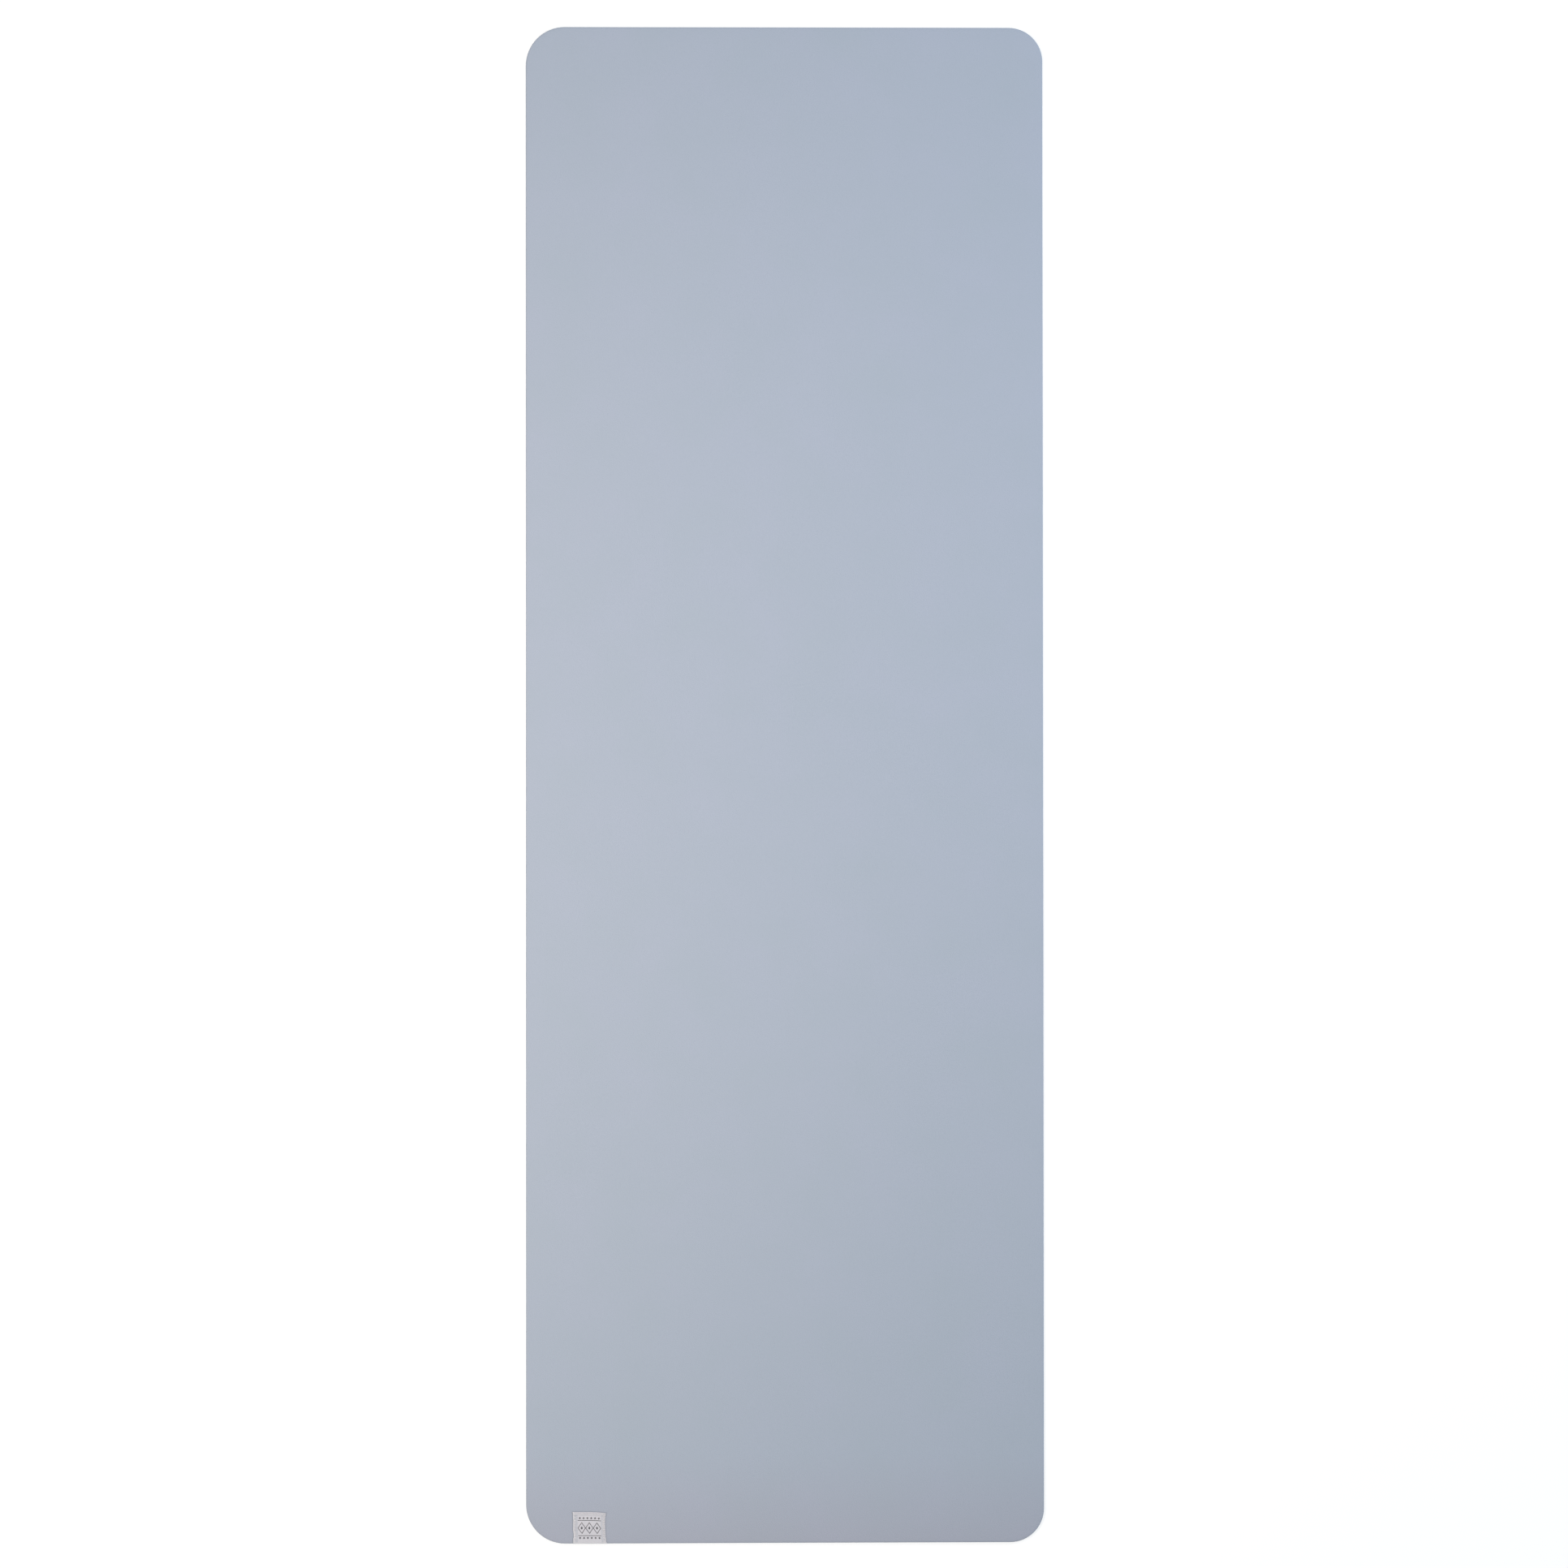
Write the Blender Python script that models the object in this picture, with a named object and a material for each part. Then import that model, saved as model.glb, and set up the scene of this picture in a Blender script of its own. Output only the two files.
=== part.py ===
"""A yoga mat: five bonded layers die-cut to one outline, and a woven label folded round one end.

Metres, +Z up. +Y runs along the mat and +X across it, and the mat lies on the plane z = 0.
The label is sewn through the mat with a needle thread above and a bobbin thread below.
"""

import math

import bmesh
import bpy
from mathutils import Vector

# The mat's outline, seen from above.
mat_width = 0.610
mat_length = 1.787
left_corner_radius = 0.046
right_corner_radius = 0.040
corner_steps = 14

# The layers, from the floor up, with a glue line between each two.
lower_foam_thick = 0.0016
scrim_thick = 0.0003
upper_foam_thick = 0.0011
backing_cloth_thick = 0.0003
skin_thick = 0.0005
glue_line = 0.0003

# The woven label, which lies over the mat's near end and in a dent pressed into the underside.
label_width = 0.038
label_from_left = 0.0552
label_leg = 0.0375
label_cloth_thick = 0.0003
label_clearance = 0.0003
label_hem = 0.0035
hem_slope = 0.0006
fold_steps = 4

# The stitching: one lockstitch row up the label's left side, across its hem and down its right.
thread_radius = 0.00015
thread_clearance = 0.0003
hole_clearance = 0.0002
stitch_pitch = 0.0035
stitch_side_inset = 0.0022
stitch_end_inset = 0.0022
first_stitch = 0.004
floor_clearance = 0.0001
hole_sides = 8

# How far a cutter runs past what it cuts, and how near two points are welded into one.
cutter_overrun = 0.002
patch_margin = 0.004
weld_distance = 0.000001

# Heights of the layers.
scrim_bottom = lower_foam_thick + glue_line
upper_foam_bottom = scrim_bottom + scrim_thick + glue_line
backing_cloth_bottom = upper_foam_bottom + upper_foam_thick + glue_line
skin_bottom = backing_cloth_bottom + backing_cloth_thick + glue_line
mat_thick = skin_bottom + skin_thick

# The label's cloth stands out from the near end, and the origin is midway along the whole.
label_stands_out = label_clearance + label_cloth_thick
mat_centre_y = label_stands_out / 2
near_end_y = mat_centre_y - mat_length / 2

# Places and heights of the label.
label_left = label_from_left - mat_width / 2
label_right = label_left + label_width
label_tip_y = near_end_y + label_leg
hem_edge_y = label_tip_y - label_hem
label_top_under = mat_thick + label_clearance
label_top_over = label_top_under + label_cloth_thick
hem_over = label_top_over + label_cloth_thick
label_back_under = floor_clearance + 2 * thread_radius + thread_clearance
label_back_over = label_back_under + label_cloth_thick
dent_roof = label_back_over + label_clearance

# Two strands of a thread lie side by side in each needle hole, one thread's width apart.
strand_offset = 2 * thread_radius
needle_hole_radius = strand_offset + thread_radius + hole_clearance
threads_meet_z = (label_top_over + label_back_under) / 2


def clear_scene():
    """Remove the objects that the scene starts with."""
    for thing in list(bpy.data.objects):
        bpy.data.objects.remove(thing, do_unlink=True)


def new_collection(name):
    """Make a collection under the scene's own."""
    collection = bpy.data.collections.new(name)
    bpy.context.scene.collection.children.link(collection)
    return collection


def make_material(name, colour, roughness):
    """Make a Principled material of one linear colour."""
    material = bpy.data.materials.new(name)
    material.use_nodes = True
    shader = material.node_tree.nodes["Principled BSDF"]
    shader.inputs["Base Color"].default_value = (*colour, 1)
    shader.inputs["Roughness"].default_value = roughness
    shader.inputs["Metallic"].default_value = 0
    return material


def arc_points(centre, radius, start, turn, steps):
    """Points along an arc from the angle start, through the angle turn."""
    points = []
    for step in range(steps + 1):
        angle = start + turn * step / steps
        points.append((centre[0] + radius * math.cos(angle), centre[1] + radius * math.sin(angle)))
    return points


def add_curve(collection, name, points, closed):
    """Make a curve object of one poly spline."""
    data = bpy.data.curves.new(name, "CURVE")
    data.dimensions = "2D" if closed else "3D"
    spline = data.splines.new("POLY")
    spline.points.add(len(points) - 1)
    for spline_point, place in zip(spline.points, points):
        spline_point.co = (*Vector(place).to_3d(), 1)
    spline.use_cyclic_u = closed
    guide = bpy.data.objects.new(name, data)
    collection.objects.link(guide)
    return guide


def curve_to_mesh(collection, guide, material):
    """Put a mesh object with welded caps in the place of a curve object."""
    bpy.context.view_layer.update()
    depsgraph = bpy.context.evaluated_depsgraph_get()
    mesh = bpy.data.meshes.new_from_object(guide.evaluated_get(depsgraph))
    name = guide.name
    matrix = guide.matrix_world.copy()
    bpy.data.objects.remove(guide, do_unlink=True)
    shape = bmesh.new()
    shape.from_mesh(mesh)
    bmesh.ops.remove_doubles(shape, verts=shape.verts, dist=weld_distance)
    shape.to_mesh(mesh)
    shape.free()
    mesh.name = name
    mesh.materials.clear()
    mesh.materials.append(material)
    piece = bpy.data.objects.new(name, mesh)
    piece.matrix_world = matrix
    collection.objects.link(piece)
    return piece


def extrude_outline(collection, name, points, thickness, material, place, turn=(0, 0, 0)):
    """Make a flat solid of an outline, its middle plane at place."""
    guide = add_curve(collection, name, points, closed=True)
    guide.data.fill_mode = "BOTH"
    guide.data.extrude = thickness / 2
    guide.location = place
    guide.rotation_euler = turn
    return curve_to_mesh(collection, guide, material)


def split_round_label(piece):
    """Cut a layer's faces at a patch round the label, so that its holes stay clear of long faces."""
    shape = bmesh.new()
    shape.from_mesh(piece.data)
    flat = [face for face in shape.faces if abs(face.normal.z) > 0.5]
    inner = [edge for edge in shape.edges if all(face in flat for face in edge.link_faces)]
    bmesh.ops.dissolve_edges(shape, edges=inner, use_verts=False)
    planes = (
        ((label_left - patch_margin, 0, 0), (1, 0, 0)),
        ((label_right + patch_margin, 0, 0), (1, 0, 0)),
        ((0, label_tip_y + patch_margin - mat_centre_y, 0), (0, 1, 0)),
    )
    for point, normal in planes:
        everything = shape.verts[:] + shape.edges[:] + shape.faces[:]
        bmesh.ops.bisect_plane(
            shape, geom=everything, dist=weld_distance, plane_co=point, plane_no=normal
        )
    shape.to_mesh(piece.data)
    shape.free()


def cut_with(piece, cutter):
    """Cut a cutter's shape out of a piece."""
    modifier = piece.modifiers.new(cutter.name, "BOOLEAN")
    modifier.operation = "DIFFERENCE"
    modifier.solver = "EXACT"
    modifier.object = cutter


def as_cutter(collection, name, shape):
    """Make a hidden cutter object of a bmesh."""
    bmesh.ops.recalc_face_normals(shape, faces=shape.faces)
    mesh = bpy.data.meshes.new(name)
    shape.to_mesh(mesh)
    shape.free()
    cutter = bpy.data.objects.new(name, mesh)
    cutter.display_type = "WIRE"
    cutter.hide_render = True
    collection.objects.link(cutter)
    return cutter


def mat_outline():
    """The mat's outline about its own centre: a rectangle with rounded corners."""
    corners = (
        (1, 1, right_corner_radius),
        (-1, 1, left_corner_radius),
        (-1, -1, left_corner_radius),
        (1, -1, right_corner_radius),
    )
    points = []
    for quarter, (side_x, side_y, radius) in enumerate(corners):
        centre = (side_x * (mat_width / 2 - radius), side_y * (mat_length / 2 - radius))
        start = quarter * math.pi / 2
        points += arc_points(centre, radius, start, math.pi / 2, corner_steps)
    return points


def make_layer(collection, name, bottom, thickness, material):
    """Make one layer of the mat."""
    place = (0, mat_centre_y, bottom + thickness / 2)
    layer = extrude_outline(collection, name, mat_outline(), thickness, material, place)
    split_round_label(layer)
    return layer


def label_outline():
    """The label from its side, as points (y, z): a strip folded round the mat, with its end hemmed."""
    bend = label_clearance
    outer = bend + label_cloth_thick
    upper_centre = (near_end_y, label_top_under - bend)
    lower_centre = (near_end_y, label_back_over + bend)
    hem_centre = (label_tip_y - label_cloth_thick, label_top_over)
    quarter = math.pi / 2
    points = arc_points(hem_centre, label_cloth_thick, -quarter, 2 * quarter, 2 * fold_steps)
    points += [(hem_edge_y, hem_over), (hem_edge_y - hem_slope, label_top_over)]
    points += arc_points(upper_centre, outer, quarter, quarter, fold_steps)
    points += arc_points(lower_centre, outer, 2 * quarter, quarter, fold_steps)
    points += [(label_tip_y, label_back_under), (label_tip_y, label_back_over)]
    points += arc_points(lower_centre, bend, 3 * quarter, -quarter, fold_steps)
    points += arc_points(upper_centre, bend, 2 * quarter, -quarter, fold_steps)
    return points


def make_label(collection, material):
    """Make the woven label."""
    place = (label_left + label_width / 2, 0, 0)
    upright = (math.pi / 2, 0, math.pi / 2)
    return extrude_outline(
        collection, "woven_label", label_outline(), label_width, material, place, upright
    )


def stitch_places():
    """Where the needle goes through, from the first stitch at the left to the last at the right."""
    left = label_left + stitch_side_inset
    right = label_right - stitch_side_inset
    low = near_end_y + first_stitch
    high = label_tip_y - stitch_end_inset
    side_stitches = max(1, round((high - low) / stitch_pitch))
    hem_stitches = max(1, round((right - left) / stitch_pitch))
    corners = ((left, low), (left, high), (right, high), (right, low))
    counts = (side_stitches, hem_stitches, side_stitches)
    places = [Vector(corners[0])]
    for start, end, count in zip(corners, corners[1:], counts):
        for step in range(1, count + 1):
            places.append(Vector(start).lerp(Vector(end), step / count))
    return places


def height_over_label(y):
    """The height of the label's upper face, which steps up at its hem."""
    climb = (y - hem_edge_y + hem_slope) / hem_slope
    return label_top_over + label_cloth_thick * min(1, max(0, climb))


def thread_points(over, turn_z):
    """A thread's path: it lies along the label at the height over(y), and dips to turn_z in each hole."""
    places = stitch_places()
    points = []
    for index, place in enumerate(places):
        if index > 0:
            before = place - (place - places[index - 1]).normalized() * strand_offset
            points.append((*before, over(before.y)))
            points.append((*before, turn_z))
        if index < len(places) - 1:
            after = place + (places[index + 1] - place).normalized() * strand_offset
            points.append((*after, turn_z))
            points.append((*after, over(after.y)))
    return points


def make_thread(collection, name, points, material):
    """Make a thread as one unbroken tube."""
    guide = add_curve(collection, name, points, closed=False)
    guide.data.bevel_depth = thread_radius
    guide.data.bevel_resolution = 1
    guide.data.use_fill_caps = True
    thread = curve_to_mesh(collection, guide, material)
    thread.data.shade_smooth()
    thread.data.set_sharp_from_angle(angle=math.radians(50))
    return thread


def make_needle_threads(collection, material):
    """Make the thread that shows on top and the one that shows below, which meet inside the mat."""
    turn_offset = thread_clearance / 2 + thread_radius

    def over_label(y):
        return height_over_label(y) + thread_clearance + thread_radius

    def under_label(_y):
        return floor_clearance + thread_radius

    needle_points = thread_points(over_label, threads_meet_z + turn_offset)
    bobbin_points = thread_points(under_label, threads_meet_z - turn_offset)
    make_thread(collection, "needle_thread", needle_points, material)
    make_thread(collection, "bobbin_thread", bobbin_points, material)


def make_needle_holes(collection):
    """Make the cutter for the holes that the needle leaves."""
    bottom = -cutter_overrun
    top = hem_over + cutter_overrun
    shape = bmesh.new()
    for place in stitch_places():
        prism = bmesh.ops.create_cone(
            shape,
            cap_ends=True,
            segments=hole_sides,
            radius1=needle_hole_radius,
            radius2=needle_hole_radius,
            depth=top - bottom,
        )
        middle = Vector((place.x, place.y, (bottom + top) / 2))
        bmesh.ops.translate(shape, verts=prism["verts"], vec=middle)
    return as_cutter(collection, "needle_holes", shape)


def make_label_dent(collection):
    """Make the cutter for the dent that the label's back presses into the underside."""
    low = Vector((label_left - label_clearance, near_end_y - cutter_overrun, -cutter_overrun))
    high = Vector((label_right + label_clearance, label_tip_y + label_clearance, dent_roof))
    shape = bmesh.new()
    bmesh.ops.create_cube(shape, size=1)
    bmesh.ops.scale(shape, verts=shape.verts, vec=high - low)
    bmesh.ops.translate(shape, verts=shape.verts, vec=(low + high) / 2)
    return as_cutter(collection, "label_dent", shape)


def make_mat():
    """Make the whole mat."""
    clear_scene()
    mat = new_collection("yoga_mat")
    cutters = new_collection("cutters")

    skin = make_material("matte_polyurethane", (0.443, 0.494, 0.584), 0.75)
    cloth = make_material("polyester_cloth", (0.55, 0.56, 0.58), 0.9)
    foam = make_material("foam_rubber", (0.40, 0.45, 0.54), 0.9)
    label_cloth = make_material("label_damask", (0.60, 0.58, 0.61), 0.7)
    thread = make_material("polyester_thread", (0.62, 0.61, 0.63), 0.6)

    holes = make_needle_holes(cutters)
    dent = make_label_dent(cutters)

    lower_foam = make_layer(mat, "lower_foam", 0, lower_foam_thick, foam)
    cut_with(lower_foam, dent)
    layers = [
        lower_foam,
        make_layer(mat, "reinforcing_scrim", scrim_bottom, scrim_thick, cloth),
        make_layer(mat, "upper_foam", upper_foam_bottom, upper_foam_thick, foam),
        make_layer(mat, "skin_backing_cloth", backing_cloth_bottom, backing_cloth_thick, cloth),
        make_layer(mat, "top_grip_skin", skin_bottom, skin_thick, skin),
        make_label(mat, label_cloth),
    ]
    for piece in layers:
        cut_with(piece, holes)
    make_needle_threads(mat, thread)


make_mat()
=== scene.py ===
"""A yoga mat laid flat and seen from straight above: its layers, its woven label and the seam.

Each layer is a modelled sheet with a die-cut rim, and all of them settle on the floor alike.
"""

import math

import bmesh
import bpy
from mathutils import Euler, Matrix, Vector, noise


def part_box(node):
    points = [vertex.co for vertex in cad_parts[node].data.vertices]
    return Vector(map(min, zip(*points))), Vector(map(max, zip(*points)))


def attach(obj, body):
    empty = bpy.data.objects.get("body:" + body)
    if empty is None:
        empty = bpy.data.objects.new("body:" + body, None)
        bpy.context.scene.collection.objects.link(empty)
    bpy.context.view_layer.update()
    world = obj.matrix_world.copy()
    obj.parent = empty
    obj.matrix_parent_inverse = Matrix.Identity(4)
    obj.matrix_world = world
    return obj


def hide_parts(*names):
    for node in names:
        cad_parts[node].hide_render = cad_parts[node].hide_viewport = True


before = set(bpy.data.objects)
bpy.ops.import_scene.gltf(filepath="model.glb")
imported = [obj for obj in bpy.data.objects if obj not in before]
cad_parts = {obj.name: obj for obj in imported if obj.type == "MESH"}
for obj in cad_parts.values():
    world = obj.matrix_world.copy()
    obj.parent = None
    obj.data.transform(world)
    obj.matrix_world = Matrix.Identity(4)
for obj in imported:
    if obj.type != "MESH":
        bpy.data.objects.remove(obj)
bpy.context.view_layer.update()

# The mat's size and the heights of its layers, from the parts in model.glb.
skin_low, skin_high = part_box("top_grip_skin")
cloth_low, cloth_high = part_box("skin_backing_cloth")
scrim_low, scrim_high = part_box("reinforcing_scrim")
label_low, label_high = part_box("woven_label")
mat_width = skin_high.x - skin_low.x
mat_length = skin_high.y - skin_low.y
mat_thick = skin_high.z
half_width = mat_width / 2
half_length = mat_length / 2
mat_centre_y = (skin_low.y + skin_high.y) / 2
near_end_y = skin_low.y
scrim_middle = (scrim_low.z + scrim_high.z) / 2
left_corner_radius = 0.046
right_corner_radius = 0.040
corner_segments = 16
grid_step = 0.020
hair_gap = 0.00002

# How near two points count as one, for cuts, flat faces, welds and slivers.
cut_tolerance = hair_gap / 100
level_tolerance = hair_gap / 10
weld_reach = hair_gap / 20
sliver_reach = hair_gap / 2

# The angle past which an edge is shaded sharp, on the layers and on cloth and thread.
layer_sharp_angle = math.radians(40)
cloth_sharp_angle = math.radians(60)

# The rim. The cutting die drags the upper layers down over the last few millimetres.
rim_rings = (0.0005, 0.0005, 0.0007, 0.0011)
rim_drag_width = 0.0026
rim_drag_share = 0.12
rim_round = 0.00035
rim_round_segments = 3
least_rim_angle = math.radians(60)
rim_bulge = 0.00012
rim_bulge_cuts = 2
rim_rough_share = 0.5
rim_rough_scale = 180

# How the mat lies: it was stored rolled, so it is a little wavy and its ends are lifted a hair.
wave_height = 0.00030
wave_length_x = 0.47
wave_length_y = 0.63
wave_phase_x = 1.3
wave_phase_y = 0.4
near_end_lift = 0.0003
far_end_lift = 0.0011
end_lift_length = 0.15

# The tread of the underside: lozenge pads between channels.
pad_pitch = 0.010
pad_half_angle = math.radians(30)
pad_height = 0.0004
channel_half_width = 0.0008
tread_margin = 0.004
tread_wall = 0.0002
least_pad_radius = 0.0014
least_pad_edge = 0.0003

# The dent in the underside for the label's back, with its sloping wall.
dent_roof = 0.00106
dent_wall = 0.0012
dent_margin = 0.0008
pad_to_label = 2 * dent_wall
near_label = 0.008
dent_cuts = (
    -0.0012, -0.0008, -0.0004, 0, 0.0004, 0.0008, 0.0011, 0.0014, 0.0017, 0.0020, 0.0024, 0.0028,
    0.0032, 0.0036, 0.0040
)

# The scrim's flat yarns.
yarn_pitch = 0.005
yarn_width = 0.0008
yarn_thick = 0.00012
yarn_step = 0.06
yarn_poke = 0.00004

# The label's cloth, which is folded round the near end.
label_thick = 0.00028
label_gap = 0.00003
label_hem = 0.0034
hem_ramp = 0.0009
hem_ramp_shares = (0.2, 0.4, 0.6, 0.8)
label_bend = 0.00045
label_bend_steps = 8
label_columns = 64
label_row_step = 0.0005
label_ripple = 0.00006
label_ripple_scale = 160
label_edge_lift = 0.00025
label_scallop = 0.0001
label_scallop_pitch = 0.0034

# The label's outline, which the seam and the fold pull out of square.
tip_inset = 0.0003
tip_fall = 0.0014
tip_fall_start_share = 0.4
left_inset = 0.0001
left_tip_poke = 0.0010
left_poke_length = 0.0022
left_nip = 0.0007
left_nip_place = 0.010
left_nip_length = 0.0036
right_waist = 0.0002
right_tip_poke = 0.0013
right_poke_length = 0.005
right_end_flare = 0.0021
right_flare_length = 0.009

# The sewn label presses into the skin, which dips towards it.
press_depth = 0.00022
press_width = 0.0012
press_cuts = (-0.0012, -0.0008, -0.0004, 0, 0.0004, 0.0008, 0.0012, 0.0016, 0.0020, 0.0026, 0.0034)
outline_step = 0.003

# Painted shade: a painted shadow darkens the skin beside the label, and the near end is painted a
# shade darker and warmer.
label_shadow_reach = 0.0006
# How far the painted shade at the near end reaches.
end_shade_length = 0.105

# The seam.
stitch_pitch = 0.0035
stitch_side_inset = 0.0022
stitch_end_inset = 0.0022
first_stitch = 0.004
thread_radius = 0.00022
thread_sides = 12
thread_resolution = 5
ply_count = 3
ply_depth_share = 0.22
ply_turn_length = 0.0016
strand_offset = 0.00028
stitch_pull = 0.00020
stitch_pull_radius = 0.0009

# The bow of a stitch: places along it, and how far the thread sinks there, in its own radii.
bow_place_shares = (0, 0.09, 0.25, 0.5, 0.75, 0.91, 1)
bow_sink_shares = (2.6, 0.3, -0.1, -0.2, -0.1, 0.3, 2.6)

# The real sizes of the finishes' patterns, in millimetres. A Wave turns 20 radians in a unit.
mm_in_metre = 1000
wave_radians = 20
pebble_mm = 0.909
wrinkle_mm = 0.357
coat_cloud_mm = 71.43
foam_cell_mm = 0.345
foam_bloom_mm = 20
cloth_thread_mm = 0.4
filament_mm = 0.125
fuzz_mm = 0.111
label_rib_mm = 0.3
label_end_mm = 0.24
binding_rib_mm = 1.7

# How far those patterns stand up, and the shares of that for wrinkles and for woven marks.
grain_relief = 0.00012
wrinkle_share = 0.3
foam_pit_relief = 0.00012
cloth_relief = 0.00008
label_relief = 0.00006
ornament_share = 0.6
fuzz_relief = 0.00003

# The zones of the label's weave, in millimetres across from its middle or down from its tip.
# Each edge fades between two places, and the fold's are counted from the fold.
label_half_mm = 19.0
panel_edge_mm = (13.2, 14.2)
binding_edge_mm = (14.6, 16.4)
loose_binding_share = 0.3
# The left selvedge's zone is a painted highlight.
selvedge_highlight_edge_mm = (-17.7, -17.2)
hem_edge_mm = (2.8, 3.4)
# The fold's zone is a painted highlight.
fold_place_mm = 38.0
fold_highlight_edge_mm = (1.0, 2.5)

# The ornament woven into the label, in millimetres. Heights count from its middle.
block_mm = 0.25
ornament_middle_mm = 19.0
ornament_half_mm = 13.6
diamond_half_mm = 4.5
diamond_slope = 1.444
diamond_line_mm = 6.3
diamond_line_half_mm = 0.65
heart_mm = 2.0
rule_mm = 9.0
rule_half_mm = 0.3
bead_half_pitch_mm = 2.25
bead_row_mm = 11.7
bead_mm = 1.35

# The studio: soft lights over a white floor, under an even white surround.
softbox_height = 1.8
softbox_side = 0.6
left_near_place = (-0.92, -0.50, softbox_height)
left_far_place = (-0.37, 0.51, softbox_height)
right_place = (2.40, 0.83, softbox_height)
left_near_power = 19.1
left_far_power = 12.35
right_power = 49.5
ambient_strength = 0.378
ambient_colour = "#E5F8FF"
floor_glow = 0.78
floor_reach = 60

# The camera, which looks down with the mat's length upright in the picture.
camera_lens = 85
camera_reach = 100
camera_place = (-0.0560, -0.0287, 4.3706)
camera_turn = (math.radians(0.384), math.radians(-0.723), math.radians(-0.042))


def linear(hex_colour):
    """Turn an sRGB hex colour into linear red, green, blue and alpha."""
    channels = []
    for start in (1, 3, 5):
        value = int(hex_colour[start:start + 2], 16) / 255
        channels.append(value / 12.92 if value <= 0.04045 else ((value + 0.055) / 1.055) ** 2.4)
    return (*channels, 1)


def add_node(tree, kind, inputs=None, **settings):
    """Add a node, with its settings, and set or link its inputs.

    A node given for an input stands for its first output. A colour Mix has its two colours at
    the inputs 6 and 7 and its result at the output 2.
    """
    node = tree.nodes.new(kind)
    for name, value in settings.items():
        setattr(node, name, value)
    for key, value in (inputs or {}).items():
        if isinstance(value, bpy.types.Node):
            value = value.outputs[0]
        if isinstance(value, bpy.types.NodeSocket):
            tree.links.new(value, node.inputs[key])
        else:
            node.inputs[key].default_value = value
    return node


def grain_scale(size_mm):
    """The Scale, on coordinates in metres, that makes a pattern's grains this large."""
    return mm_in_metre / size_mm


def band_scale(spacing_mm, mm_in_unit=mm_in_metre):
    """The Scale that sets a Wave's bands this far apart. mm_in_unit is 1 on the label's cloth."""
    return math.tau * mm_in_unit / (wave_radians * spacing_mm)


def new_material(name, **constants):
    """Make a Principled material. constants are shader inputs, with underscores for spaces."""
    material = bpy.data.materials.new(name)
    material.use_nodes = True
    shader = material.node_tree.nodes["Principled BSDF"]
    for key, value in constants.items():
        shader.inputs[key.replace("_", " ")].default_value = value
    return material, material.node_tree, shader


def grip_skin_material():
    """Matte polyurethane skin, cast on embossed release paper."""
    # A dry, soft face with a fine pebble grain. The grain blurs its gloss, so it looks chalky.
    material, tree, shader = new_material(
        "cast_polyurethane_skin", Roughness=0.78, IOR=1.46, Sheen_Weight=0.04, Sheen_Roughness=0.6
    )
    place = add_node(tree, "ShaderNodeTexCoord").outputs["Object"]
    # Pebbles about 0.9 mm across, with darker valleys between them.
    pebble = add_node(
        tree, "ShaderNodeTexVoronoi",
        {"Vector": place, "Scale": grain_scale(pebble_mm), "Randomness": 0.9},
        voronoi_dimensions="2D"
    )
    valley = add_node(
        tree, "ShaderNodeMapRange",
        {"Value": pebble.outputs["Distance"], "From Min": 0.3, "From Max": 0.75}
    )
    # Slow changes in the coat's depth, over about 70 mm.
    cloud = add_node(
        tree, "ShaderNodeTexNoise",
        {"Vector": place, "Scale": grain_scale(coat_cloud_mm), "Detail": 2}, noise_dimensions="2D"
    )
    wide = add_node(
        tree, "ShaderNodeMix",
        {"Factor": cloud.outputs["Fac"], 6: linear("#ABB6C2"), 7: linear("#B0B8C8")},
        data_type="RGBA"
    )
    colour = add_node(
        tree, "ShaderNodeMix",
        {"Factor": valley, 6: wide.outputs[2], 7: linear("#A9B3C1")}, data_type="RGBA"
    )
    # Painted shade: the near end is painted a shade darker and warmer, over 105 mm, for the light
    # that falls off there.
    along = add_node(tree, "ShaderNodeSeparateXYZ", {0: place})
    end_shade = add_node(
        tree, "ShaderNodeMapRange",
        {"Value": along.outputs["Y"], "From Min": near_end_y + end_shade_length,
         "From Max": near_end_y}
    )
    end_shaded = add_node(
        tree, "ShaderNodeMix",
        {"Factor": end_shade, 6: colour.outputs[2], 7: linear("#FDF6F6")},
        data_type="RGBA", blend_type="MULTIPLY"
    )
    # Painted shadow: the skin is painted darker in the corner along the label's edge, where shade
    # falls.
    painted_label_shadow = add_node(tree, "ShaderNodeAttribute", attribute_name="painted_label_shadow")
    label_shadow_colour = add_node(
        tree, "ShaderNodeMix",
        {"Factor": painted_label_shadow.outputs["Fac"], 6: end_shaded.outputs[2], 7: linear("#919AA8")},
        data_type="RGBA"
    )
    tree.links.new(label_shadow_colour.outputs[2], shader.inputs["Base Color"])
    # Wrinkles of about 0.35 mm run over the pebbles.
    wrinkle = add_node(
        tree, "ShaderNodeTexNoise",
        {"Vector": place, "Scale": grain_scale(wrinkle_mm), "Detail": 1}, noise_dimensions="2D"
    )
    relief = add_node(
        tree, "ShaderNodeMath",
        {0: wrinkle.outputs["Fac"], 1: -wrinkle_share, 2: pebble.outputs["Distance"]},
        operation="MULTIPLY_ADD"
    )
    grain = add_node(
        tree, "ShaderNodeBump",
        {"Height": relief, "Strength": 0.65, "Distance": grain_relief}, invert=True
    )
    tree.links.new(grain.outputs["Normal"], shader.inputs["Normal"])
    return material


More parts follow.
